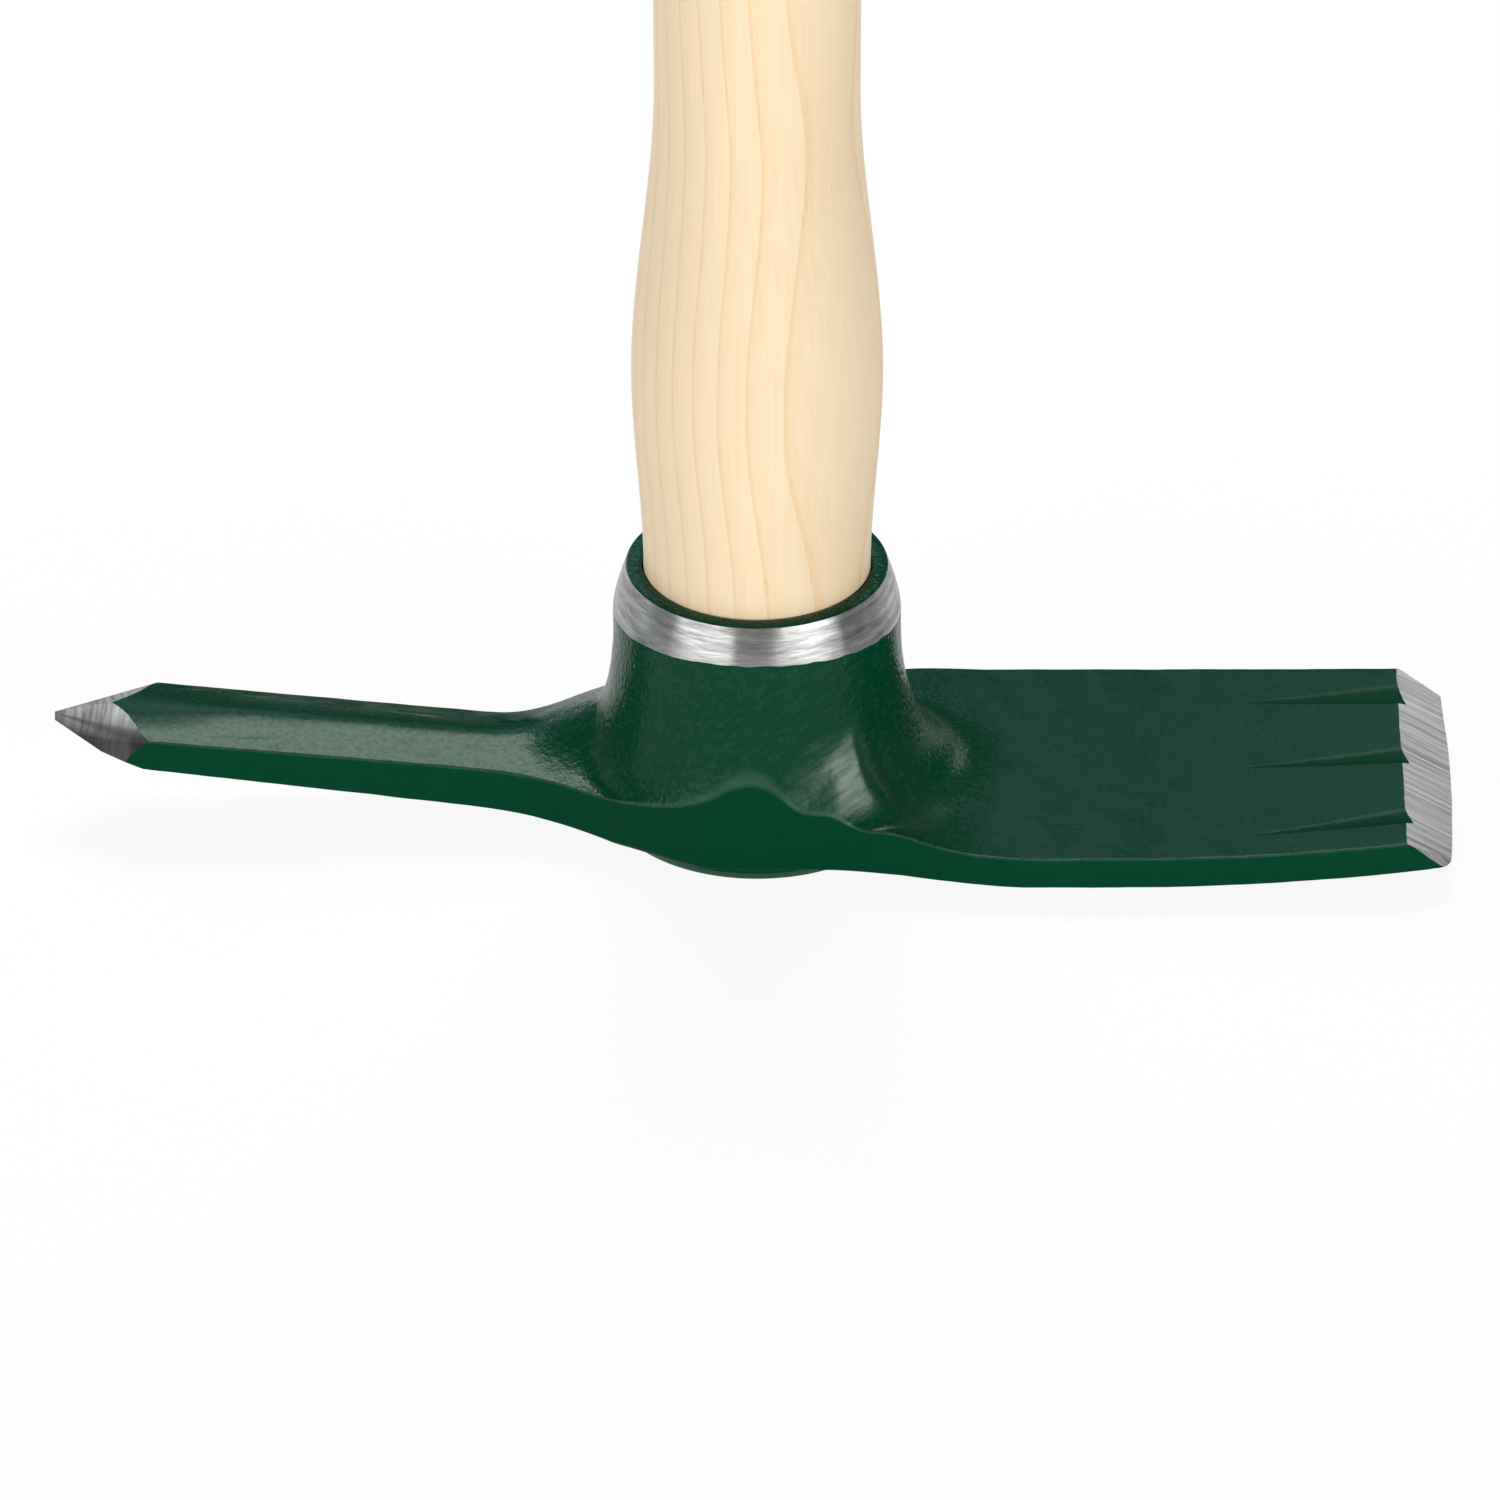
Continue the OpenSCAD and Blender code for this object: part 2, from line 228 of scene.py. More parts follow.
def bar_under(x):
    level = mix(boss_drop, blade_under_z, smooth(share(x, 0, blade_root_x))) + sweep(x)
    return np.where(x < -pick_under_x, boss_drop + (-x - pick_under_x) * pick_under_slope, level)


def crown(x, y):
    """Soft ridge along the pick, highest on its centre line"""
    across = y / half_width(x)
    sharp = (np.hypot(across, ridge_soft) - ridge_soft) / (math.hypot(1, ridge_soft) - ridge_soft)
    at_point = smooth(share(-x, crown_fall_x, shoulder_x))
    height = mix(pick_crown, point_crown, at_point)
    grown = smooth(share(-x, crown_from_x, crown_full_x))
    return height * grown * (1 - mix(sharp, across ** 2, at_point))


def fillet(distance, reach, height, foot_power=2):
    """Fillet at a distance from the wall: elliptical, or softer at its foot with a higher power"""
    return height * (1 - np.sqrt(1 - (1 - np.clip(distance / reach, 0, 1)) ** foot_power))


def fillet_reach(along, across):
    """Reach of the collar's fillet, by the direction's shares along and across the head"""
    cheek = fillet_cheek + fillet_gable * bulge(along, gable_along, gable_spread)
    to_blade = (fillet_blade - fillet_cheek) * np.maximum(along, 0) ** fillet_blade_power
    to_pick = (fillet_wall - fillet_cheek) * np.maximum(-along, 0) ** fillet_wall_power
    to_pick = to_pick * far_side(across)
    to_near = (fillet_near - fillet_cheek) * near_pick(along, across)
    return cheek + to_blade + to_pick + to_near


def far_side(across):
    """1 from the head's long axis to its far side, 0 on its near side"""
    return smooth(share(across, far_side_from, far_side_to))


def near_pick(along, across):
    """1 in the corner between the collar and the pick's near edge, 0 away from it"""
    return smooth(share(-along, near_corner_from, near_corner_to)) * (1 - far_side(across))


def ramp(distance, along, across):
    """Low ramp that carries the pick's root up to the collar, longest on the far side"""
    far = smooth(share(across, ramp_far_from, ramp_far_to))
    reach = mix(near_ramp_reach, ramp_reach, far)
    height = ramp_height * mix(near_ramp_share, 1, far) * np.maximum(-along, 0) ** 2
    return height * (1 - np.clip(distance / reach, 0, 1)) ** 2


def fillet_top(along):
    return mix(fillet_z_pick, fillet_z_blade, smooth(share(along, -1, 1)))


def steps(first, last, count):
    """Even steps from first to last, without first itself"""
    return np.linspace(first, last, count + 1)[1:]


# The outline in plan: along the far side from the cutting edge to the pick's blank end, and
# back along the near side, where the blade flares more slowly
edge_flat = half_width(blade_reach - edge_corner_r) - edge_corner_r
corner_x = blade_reach - edge_bow - edge_corner_r
blank_spare = 1.5 * mm
blank_end_x = -pick_reach - blank_spare
end_y = np.linspace(0, edge_flat, 41)
corner_turn = steps(0, math.pi / 2, 9)
side_x = np.concatenate([
    steps(corner_x, blade_root_x, 62), steps(blade_root_x, cheek_blade_x, 58),
    steps(cheek_blade_x, -cheek_pick_x, 34), steps(-cheek_pick_x, -neck_x, 62),
    steps(-neck_x, -shoulder_x, 44), steps(-shoulder_x, blank_end_x, 14)])
blank_y = half_width(np.array(blank_end_x)) * np.linspace(1, 0, 9)[1:]
far_x = np.concatenate([
    blade_reach - edge_bow * (end_y / edge_flat) ** 2, corner_x + edge_corner_r * np.cos(corner_turn),
    side_x, np.full(len(blank_y), blank_end_x)])
corner_y = edge_flat + edge_corner_r * np.sin(corner_turn)
far_y = np.concatenate([end_y, corner_y, half_width(side_x, far_cheek_x, far_root_x), blank_y])
near_y = np.concatenate([end_y, corner_y, half_width(side_x), blank_y])
outline_x = np.concatenate([far_x, far_x[-2:0:-1]])
outline_y = np.concatenate([far_y, -near_y[-2:0:-1]])
outline_r = np.hypot(outline_x, outline_y)
along = outline_x / outline_r
across = outline_y / outline_r
tangent_x = np.roll(outline_x, -1) - np.roll(outline_x, 1)
tangent_y = np.roll(outline_y, -1) - np.roll(outline_y, 1)
facing = np.abs(along * tangent_y - across * tangent_x) / np.hypot(tangent_x, tangent_y)

# Every meridian of the net starts at the eye's foot, climbs the bore, crosses the lip, comes
# down the band, collar and fillet, runs out to the edge and comes back along the underside
PAINT, TRIMMED, RIM, BAND, BEVEL, POINT = range(6)
rings = []
ring_paint = []
ring_edge = []


def add_ring(r, z, paint=PAINT, edge=0.0):
    r = np.broadcast_to(r, outline_r.shape)
    rings.append(np.stack([r * along, r * across, np.broadcast_to(z, r.shape)], axis=1))
    ring_paint.append(paint)
    ring_edge.append(edge)


def top_height(r):
    wall_h = fillet_top(along) - bar_top(collar_r * along) - ramp(0, along, across)
    to_blade = smooth(share(along, soft_foot_from, soft_foot_to))
    soft_foot = np.maximum(to_blade, near_pick(along, across))
    foot_power = mix(2, fillet_foot_power, soft_foot)
    rise = fillet(r - collar_r, fillet_reach(along, across), wall_h, foot_power)
    rise = rise + ramp(r - collar_r, along, across)
    forged_z = bar_top(r * along) + crown(r * along, r * across) + apron(r * along, r * across) + rise
    return forged_z + web(r * along, r * across, forged_z)


def apron(x, y):
    """Low swell of the near edge at the foot of the web"""
    return apron_height * bulge(x, apron_x, apron_spread) * smooth(share(-y, apron_from_y, apron_to_y))


def web(x, y, forged_z):
    """Flat web on the near side, between the collar and the blade's root, that ends in a crest"""
    turn = np.arctan2(outline_y, outline_x)
    cover = smooth(share(turn, web_fade_from, web_fade_to))
    cover = cover * (1 - smooth(share(turn, crest_from, crest_to))) ** crest_power
    web_z = web_top.z + web_fall_along * (x - web_top.x) + web_fall_across * (y - web_top.y)
    above = np.clip((web_z - forged_z) / web_soft, -1, None)
    return cover * web_soft * np.where(above < 1, (above + 1) ** 2 / 4, above)


def under_height(r):
    return bar_under(r * along) - fillet(r - boss_r, boss_fillet, boss_drop / 2)


bore_r = [foot_r, waist_r, throat_r, mouth_r]
bore_z = [0, waist_z, throat_z, eye_height - lip_round]
for z in [*np.linspace(0, waist_z, 6), *steps(waist_z, throat_z, 6), bore_z[-1]]:
    add_ring(np.interp(z, bore_z, bore_r), z)
lip_r = mouth_r + lip_width
for turn in steps(0, math.pi / 2, 3):
    add_ring(mouth_r + lip_round * (1 - math.cos(turn)), eye_height - lip_round * (1 - math.sin(turn)))
ragged = np.array([noise.noise((band_rags * x, band_rags * y, 0)) for x, y in zip(along, across)])
band_foot = eye_height - band_mean_h - band_wave * (along ** 2 - across ** 2) + band_ragged * ragged
add_ring(lip_r - lip_round, eye_height)
for t in np.linspace(0, 1, 11):
    band_z = mix(eye_height - lip_round / 2, band_foot, t)
    add_ring(collar_r - (collar_r - lip_r) * (1 - t) ** band_power, band_z, BAND if t < 1 else PAINT)
for t in steps(0, 1, 4):
    add_ring(collar_r, mix(band_foot, fillet_top(along), t))
reach = outline_r - collar_r
round_h = mix(upper_round, cheek_round, bulge(outline_x, cheek_round_x, cheek_round_spread))
round_r = np.minimum(round_h / np.maximum(facing, least_facing), reach / 2)
arm = reach - round_r
foot = np.minimum(fillet_reach(along, across), arm_share * arm)
for turn in steps(0, math.pi / 2, 24):
    r = collar_r + foot * (1 - math.cos(turn))
    add_ring(r, top_height(r))
for t in steps(0, 1, 26):
    r = collar_r + mix(foot, arm, t)
    add_ring(r, top_height(r))
for turn in steps(0, math.pi / 2, 5):
    r = outline_r - round_r * (1 - math.sin(turn))
    # Paint wears thin on the middle of each edge's rounding, and its colour is lightened there as a painted
    # highlight too
    wear_and_highlight_share = 1 - abs(turn / (math.pi / 4) - 1)
    paint = PAINT if turn < math.pi / 4 else TRIMMED
    add_ring(r, top_height(r) - round_h * (1 - math.cos(turn)), paint, wear_and_highlight_share)
side_top = rings[-1][:, 2]
lower_h = mix(lower_round, cheek_lower_round, bulge(outline_x, cheek_lower_x, cheek_lower_spread))
lower_r = np.minimum(lower_h / np.maximum(facing, least_facing), (outline_r - boss_r) / 2)
side_foot = under_height(outline_r) + lower_h
for t in steps(0, 1, 5):
    add_ring(outline_r, mix(side_top, side_foot, t), TRIMMED)
for turn in steps(0, math.pi / 2, 5):
    r = outline_r - lower_r * (1 - math.cos(turn))
    add_ring(r, under_height(r) + lower_h * (1 - math.sin(turn)), TRIMMED)
for t in np.linspace(1, 0, 15)[1:]:
    r = mix(boss_r, outline_r - lower_r, t ** 2)
    add_ring(r, under_height(r), TRIMMED if t > 0 else RIM)
for turn in steps(0, math.pi / 2, 4):
    add_ring(boss_r - boss_round * (1 - math.cos(turn)), boss_round * (1 - math.sin(turn)), RIM)

ring_n, spoke_n = len(rings), len(outline_r)
points = np.concatenate(rings)
quads = []
quad_paint = []
for k in range(ring_n):
    for j in range(spoke_n):
        this, after = k * spoke_n, (k + 1) % ring_n * spoke_n
        beside = (j + 1) % spoke_n
        quads.append((this + j, after + j, after + beside, this + beside))
        quad_paint.append(ring_paint[k])
head_mesh = bpy.data.meshes.new("head_forged")
head_mesh.from_pydata(points.tolist(), [], quads)
head_mesh.polygons.foreach_set("material_index", quad_paint)
# Share of worn paint and painted highlight at each point of the edges' rounding
edge_wear_and_highlight = head_mesh.attributes.new("edge_wear_and_highlight", "FLOAT", "POINT")
edge_wear_and_highlight.data.foreach_set("value", np.repeat(ring_edge, spoke_n))

# The die leaves the skin slightly uneven, most of all round the collar
forged = bmesh.new()
forged.from_mesh(head_mesh)
bmesh.ops.recalc_face_normals(forged, faces=forged.faces[:])
forged.normal_update()
skin_wave = 0.07 * mm
skin_pitch = 7 * mm
small_pitch = 0.4 * skin_pitch
small_share = 0.5
skin_from_r = collar_r - 0.1 * mm
skin_from_z = 1.5 * mm
for vert in forged.verts:
    if math.hypot(vert.co.x, vert.co.y) > skin_from_r and vert.co.z > skin_from_z:
        lump = noise.noise(vert.co / skin_pitch) + small_share * noise.noise(vert.co / small_pitch)
        vert.co += vert.normal * skin_wave * lump

# Grooves that the forging hammer leaves in the blade's upper face, deepest at the bevel
bevel_length = 8.1 * mm
bevel_x = blade_reach - bevel_length
groove_length = 27 * mm
groove_start_x = bevel_x - groove_length
groove_depth = 0.75 * mm
groove_short = 0.9 * mm
# Each groove: its place across the blade at its start and at the bevel, and its long flank's width
groove_places = [
    (-24.1 * mm, -20.9 * mm, 4.4 * mm),
    (-2 * mm, -1.5 * mm, 4.8 * mm),
    (19 * mm, 17.8 * mm, 6.4 * mm)]
groove_lines = [-1, 0, 0.12, 0.28, 0.48, 0.72, 1]
flank_power = 1.7
shade_gain = 4
blade_spare = 1 * mm
facing_up = 0.5
cut_tolerance = 1e-7


def in_blade(element_co):
    return element_co.x > groove_start_x - blade_spare


def with_borders(faces):
    """Faces with their edges and corners, each once and always in the same order"""
    edges = dict.fromkeys(edge for face in faces for edge in face.edges)
    verts = dict.fromkeys(vert for face in faces for vert in face.verts)
    return [*verts, *edges, *faces]


def groove_y(x, groove):
    return mix(groove[0], groove[1], share(x, groove_start_x, bevel_x))


def groove_side(groove, line):
    """Offset of one of the groove's lines from its bottom, where the bevel starts"""
    return line * (groove[2] if line > 0 else groove_short)


for groove in groove_places:
    start = Vector((groove_start_x, groove[0], 0))
    for line in groove_lines:
        end = Vector((bevel_x, groove[1] + groove_side(groove, line), 0))
        along_line = end - start
        faces = [f for f in forged.faces if in_blade(f.calc_center_median()) and f.normal.z > facing_up]
        bmesh.ops.bisect_plane(
            forged, geom=with_borders(faces), dist=cut_tolerance, plane_co=start,
            plane_no=Vector((along_line.y, -along_line.x, 0)).normalized())
groove_shade = forged.verts.layers.float.new("groove_shade")
for vert in forged.verts:
    x, y, z = vert.co
    run = share(x, groove_start_x, bevel_x)
    if run <= 0 or z < (bar_top(x) + bar_under(x)) / 2:
        continue
    for groove in groove_places:
        off = y - groove_y(x, groove)
        flank = off / (run * (groove[2] if off > 0 else -groove_short))
        if 0 <= flank < 1:
            depth = (1 - flank) ** flank_power if off > 0 else 1 - flank
            vert.co.z -= groove_depth * run * depth
            vert[groove_shade] = min(1, shade_gain * depth)


# The grinder's flat faces
def grind(place, normal, near, finish):
    """Cuts away what lies beyond a plane, among the faces that near picks, and closes the cut"""
    faces = [f for f in forged.faces if near(f.calc_center_median())]
    cut = bmesh.ops.bisect_plane(
        forged, geom=with_borders(faces), dist=cut_tolerance, plane_co=place, plane_no=normal,
        clear_outer=True)
    rim = [e for e in cut["geom_cut"] if isinstance(e, bmesh.types.BMEdge)]
    for face in bmesh.ops.edgeloop_fill(forged, edges=rim, mat_nr=finish)["faces"]:
        face.normal_update()
        if face.normal.dot(normal) < 0:
            face.normal_flip()


# The blade's bevel and the two corners of its edge
edge_thickness = 0.45 * mm
bevel_fall = bar_top(bevel_x) - bar_under(blade_reach) - edge_thickness
bevel_place = Vector((bevel_x, 0, float(bar_top(bevel_x))))
bevel_normal = Vector((bevel_fall, 0, bevel_length)).normalized()
grind(bevel_place, bevel_normal, in_blade, BEVEL)
corner_set_back = 2 * mm
corner_lean = (0.75, 0.9, 0.72)
for hand in (-1, 1):
    corner_place = Vector((blade_reach - corner_set_back, hand * edge_half, float(bar_under(blade_reach))))
    corner_normal = Vector((corner_lean[0], hand * corner_lean[1], corner_lean[2])).normalized()
    grind(corner_place, corner_normal, in_blade, BEVEL)

# The pick's point: a curved facet on each side, cut as strips, and flat ones beneath. Its tip is
# blunted first, because the strips run together there.
point_rise = 3.2 * mm
point_place = Vector((-pick_reach, 0, float(bar_under(-pick_reach)) + point_rise))
point_near = Vector((-0.189, -0.272, 1)).normalized()
point_far = Vector((-0.189, 0.312, 1)).normalized()
point_near_side = Vector((-0.655, -1, 0.506)).normalized()
point_far_side = Vector((-0.655, 1, 0.506)).normalized()
point_under = Vector((-0.3, 0, -1)).normalized()
point_under_drop = Vector((0, 0, -1 * mm))
lower_cut_x = 100.2 * mm
lower_lean_along = 0.45
lower_lean_across = 0.5
point_swell = 0.025
point_strips = 15
blunt_depth = 0.25 * mm
blunt_place = Vector((blunt_depth - pick_reach, 0, 0))
blunt_normal = Vector((-1, 0, 0))
point_from_x = -0.75 * pick_reach


def in_point(element_co):
    return element_co.x < point_from_x


grind(blunt_place, blunt_normal, in_point, POINT)
for upper, side in ((point_near, point_near_side), (point_far, point_far_side)):
    hand = math.copysign(1, side.y)
    lower_place = Vector((-lower_cut_x, hand * pick_half, float(bar_under(-lower_cut_x))))
    lower_normal = Vector((-lower_lean_along, hand * lower_lean_across, -1)).normalized()
    grind(lower_place, lower_normal, in_point, TRIMMED)
    swell = side.cross(upper).normalized() * hand * point_swell
    for strip in range(point_strips):
        t = strip / (point_strips - 1)
        normal = mix(upper, side, t) + 4 * t * (1 - t) * swell
        grind(point_place, normal.normalized(), in_point, POINT)
grind(point_place + point_under_drop, point_under, in_point, TRIMMED)

# Crisp where the grinder cut, soft where the die pressed
crisp_paint = math.radians(32)
crisp_ground = math.radians(12)
forged.normal_update()
for edge in forged.edges:
    if len(edge.link_faces) == 2:
        one, two = edge.link_faces
        ground = [face.material_index >= BAND for face in (one, two)]
        limit = crisp_ground if all(ground) else crisp_paint
        edge.smooth = ground[0] == ground[1] and edge.calc_face_angle() < limit
for face in forged.faces:
    face.smooth = True
forged.to_mesh(head_mesh)
forged.free()


def add_node(tree, kind, inputs=None, **settings):
    """A node with its settings, and its inputs linked or set by name or by number"""
    made = tree.nodes.new(kind)
    for name, value in settings.items():
        setattr(made, name, value)
    for name, value in (inputs or {}).items():
        if isinstance(value, bpy.types.NodeSocket):
            tree.links.new(value, made.inputs[name])
        else:
            made.inputs[name].default_value = value
    return made


def new_material(name):
    """A material with an empty Principled surface: its tree, its shader and its Object coordinates"""
    made = bpy.data.materials.new(name)
    made.use_nodes = True
    tree = made.node_tree
    tree.nodes.clear()
    shader = add_node(tree, "ShaderNodeBsdfPrincipled")
    add_node(tree, "ShaderNodeOutputMaterial", {"Surface": shader.outputs["BSDF"]})
    place = add_node(tree, "ShaderNodeTexCoord").outputs["Object"]
    return made, tree, shader, place


def stretched_noise(tree, place, grain, detail=3.0, turn=(0, 0, 0)):
    """Noise whose grains have the given size along each axis, turned by a Mapping node"""
    mapped = add_node(tree, "ShaderNodeMapping", {
        "Vector": place, "Rotation": turn, "Scale": [size * mm for size in grain]}, vector_type="TEXTURE")
    return add_node(tree, "ShaderNodeTexNoise", {
        "Vector": mapped.outputs["Vector"], "Scale": 1.0, "Detail": detail}).outputs["Fac"]


def ranged(tree, value, low, high, to_low, to_high):
    """A value mapped from one range to another, and held at its ends"""
    made = add_node(tree, "ShaderNodeMapRange", {
        "Value": value, "From Min": low, "From Max": high, "To Min": to_low, "To Max": to_high})
    return made.outputs["Result"]


def calculated(tree, operation, *values):
    """A Math node's result"""
    return add_node(tree, "ShaderNodeMath", dict(enumerate(values)), operation=operation).outputs[0]


def measured(tree, operation, *vectors):
    """A Vector Math node's value, such as a length or a distance"""
    made = add_node(tree, "ShaderNodeVectorMath", dict(enumerate(vectors)), operation=operation)
    return made.outputs["Value"]


def flattened(tree, place):
    """A place without its height"""
    made = add_node(tree, "ShaderNodeVectorMath", {0: place, 1: (1, 1, 0)}, operation="MULTIPLY")
    return made.outputs["Vector"]


def mixed_colour(tree, factor, a, b):
    """Two colours mixed, each of them a socket or its red, green and blue"""
    a, b = [colour if isinstance(colour, bpy.types.NodeSocket) else (*colour, 1) for colour in (a, b)]
    return add_node(tree, "ShaderNodeMix", {0: factor, 6: a, 7: b}, data_type="RGBA").outputs[2]


# Dark green paint: wrinkled on the forged skin round the eye, with faint lighter streaks there that are
# painted sheen on its flow lines, worn thin along the edges and lightened there as a painted highlight,
# pooled on the web's crest, and matt in the hollow beside the crest and in the grooves
deep_green = (0.0006, 0.043, 0.018)
mid_green = (0.0010, 0.049, 0.022)
worn_and_highlit_green = (0.07, 0.15, 0.11)
paint_tint = (0.8, 1.0, 0.88, 1)
skin_full_r, skin_faint_r = 30 * mm, 42 * mm
faint_relief = 0.12
faint_streak_and_sheen = 0.2
sheen_swing = 0.05
crest_place = Vector((14.5, -23, 16)) * mm
pool_full_r, pool_end_r = 5 * mm, 11 * mm
pool_roughness = 0.25
hollow_place = Vector((23.8, -16.4, 12.9)) * mm
hollow_full_r, hollow_end_r = 4 * mm, 10 * mm
groove_matt = 0.6
forged_paint = bpy.data.node_groups.new("forged_paint", "ShaderNodeTree")
forged_paint.interface.new_socket("Vector", in_out="INPUT", socket_type="NodeSocketVector")
for name in ("Edge Wear", "Groove Shade", "Roughness", "Streaks", "Hollow Matt", "Crest Gloss"):
    forged_paint.interface.new_socket(name, in_out="INPUT", socket_type="NodeSocketFloat")
forged_paint.interface.new_socket("Color", in_out="OUTPUT", socket_type="NodeSocketColor")
for name in ("Roughness", "Height", "Pooled"):
    forged_paint.interface.new_socket(name, in_out="OUTPUT", socket_type="NodeSocketFloat")
given = add_node(forged_paint, "NodeGroupInput").outputs
wrinkle = stretched_noise(forged_paint, given["Vector"], (0.8, 0.8, 1.1), 1.0)
brush_turn = (0, math.radians(-25), math.radians(27))
brushed = stretched_noise(forged_paint, given["Vector"], (7, 0.9, 0.9), 2.0, brush_turn)
speck = stretched_noise(forged_paint, given["Vector"], (4, 4, 4), 2.0)
from_eye = measured(forged_paint, "LENGTH", flattened(forged_paint, given["Vector"]))
relief = calculated(
    forged_paint, "MULTIPLY", calculated(forged_paint, "ADD", wrinkle, brushed),
    ranged(forged_paint, from_eye, skin_full_r, skin_faint_r, 1.0, faint_relief))
# Lighter colour along the edges: partly worn paint, partly a painted highlight on the rounded edges
wear_and_highlight = calculated(
    forged_paint, "MULTIPLY", given["Edge Wear"], ranged(forged_paint, speck, 0.3, 0.7, 0.25, 0.55))
# Lighter streaks along the brushed noise, fainter away from the eye: the paint's flow lines, lightened as
# painted sheen
streak = calculated(
    forged_paint, "MULTIPLY", ranged(forged_paint, brushed, 0.45, 0.7, 0.0, given["Streaks"]),
    ranged(forged_paint, wrinkle, 0.35, 0.65, 0.2, 1.0))
streak = calculated(
    forged_paint, "MULTIPLY", streak,
    ranged(forged_paint, from_eye, skin_full_r, skin_faint_r, 1.0, faint_streak_and_sheen))
# The paint's colour, lightened by the painted highlight along the edges and the painted sheen in the streaks
green = mixed_colour(
    forged_paint, calculated(forged_paint, "ADD", wear_and_highlight, streak),
    mixed_colour(forged_paint, speck, deep_green, mid_green), worn_and_highlit_green)
sheen = ranged(
    forged_paint, wrinkle, 0.3, 0.7, calculated(forged_paint, "SUBTRACT", given["Roughness"], sheen_swing),
    calculated(forged_paint, "ADD", given["Roughness"], sheen_swing))
from_hollow = measured(forged_paint, "DISTANCE", given["Vector"], hollow_place)
matt = calculated(
    forged_paint, "ADD",
    ranged(forged_paint, from_hollow, hollow_full_r, hollow_end_r, given["Hollow Matt"], 0.0),
    ranged(forged_paint, given["Groove Shade"], 0.0, 1.0, 0.0, groove_matt))
from_crest = measured(forged_paint, "DISTANCE", given["Vector"], crest_place)
pooled = calculated(
    forged_paint, "MULTIPLY",
    ranged(forged_paint, from_crest, pool_full_r, pool_end_r, given["Crest Gloss"], 0.0),
    ranged(forged_paint, brushed, 0.35, 0.65, 0.4, 1.0))
add_node(forged_paint, "NodeGroupOutput", {
    "Color": green, "Roughness": calculated(forged_paint, "ADD", sheen, matt), "Height": relief,
    "Pooled": pooled})


def green_coat(name, roughness, grain, ior, crest_gloss=0.0, hollow_matt=0.0, streaks_and_sheen=0.0):
    """Green paint with wrinkles as deep as grain says"""
    made, tree, shader, place = new_material(name)
    coat = add_node(tree, "ShaderNodeGroup", {
        "Vector": place,
        "Edge Wear": add_node(tree, "ShaderNodeAttribute", attribute_name="edge_wear_and_highlight").outputs["Fac"],
        "Groove Shade": add_node(tree, "ShaderNodeAttribute", attribute_name="groove_shade").outputs["Fac"],
        "Roughness": roughness, "Streaks": streaks_and_sheen, "Hollow Matt": hollow_matt, "Crest Gloss": crest_gloss},
        node_tree=forged_paint).outputs
    bump = add_node(tree, "ShaderNodeBump", {"Height": coat["Height"], "Strength": 0.5, "Distance": grain})
    tree.links.new(coat["Color"], shader.inputs["Base Color"])
    tree.links.new(coat["Roughness"], shader.inputs["Roughness"])
    tree.links.new(bump.outputs["Normal"], shader.inputs["Normal"])
    if crest_gloss:
        tree.links.new(coat["Pooled"], shader.inputs["Coat Weight"])
        shader.inputs["Coat Roughness"].default_value = pool_roughness
    shader.inputs["IOR"].default_value = ior
    shader.inputs["Specular Tint"].default_value = paint_tint
    return made


# Glossier on the forged skin than on the sides, where the flash was trimmed off
green_paint = green_coat(
    "green_paint", roughness=0.25, grain=0.22 * mm, ior=1.2, crest_gloss=0.7, hollow_matt=0.4, streaks_and_sheen=0.15)
rim_paint = green_coat("rim_paint", roughness=0.25, grain=0.05 * mm, ior=1.45)
trimmed_paint = green_coat("trimmed_paint", roughness=0.45, grain=0.03 * mm, ior=1.12)

# Strokes of the grinding belt, as heights and tones
strokes = bpy.data.node_groups.new("grinding_strokes", "ShaderNodeTree")
strokes.interface.new_socket("Vector", in_out="INPUT", socket_type="NodeSocketVector")
strokes.interface.new_socket("Height", in_out="OUTPUT", socket_type="NodeSocketFloat")
strokes.interface.new_socket("Tone", in_out="OUTPUT", socket_type="NodeSocketFloat")
stroke_place = add_node(strokes, "NodeGroupInput").outputs["Vector"]
fine_stroke = add_node(strokes, "ShaderNodeTexNoise", {"Vector": stroke_place, "Scale": 1.0, "Detail": 3.0})
broad_stroke = add_node(strokes, "ShaderNodeTexNoise", {"Vector": stroke_place, "Scale": 0.22, "Detail": 2.0})
stroke_height = calculated(strokes, "ADD", fine_stroke.outputs["Fac"], broad_stroke.outputs["Fac"])
add_node(strokes, "NodeGroupOutput", {
    "Height": stroke_height, "Tone": ranged(strokes, stroke_height, 0.7, 1.3, 0.0, 1.0)})
stroke_depth = 0.02 * mm
stroke_swing = 0.06


def ground_steel(name, grain, turn, dark, light, roughness):
    """Bare steel with grinding strokes that are as long and as wide as grain says"""
    made, tree, shader, place = new_material(name)
    mapped = add_node(tree, "ShaderNodeMapping", {
        "Vector": place, "Rotation": turn, "Scale": [size * mm for size in grain]}, vector_type="TEXTURE")
    ground = add_node(tree, "ShaderNodeGroup", {
        "Vector": mapped.outputs["Vector"]}, node_tree=strokes).outputs
    tone = mixed_colour(tree, ground["Tone"], dark, light)
    sheen = ranged(tree, ground["Tone"], 0.0, 1.0, roughness + stroke_swing, roughness - stroke_swing)
    bump = add_node(tree, "ShaderNodeBump", {
        "Height": ground["Height"], "Strength": 0.35, "Distance": stroke_depth})
    tree.links.new(tone, shader.inputs["Base Color"])
    tree.links.new(sheen, shader.inputs["Roughness"])
    tree.links.new(bump.outputs["Normal"], shader.inputs["Normal"])
    shader.inputs["Metallic"].default_value = 1.0
    return made, shader


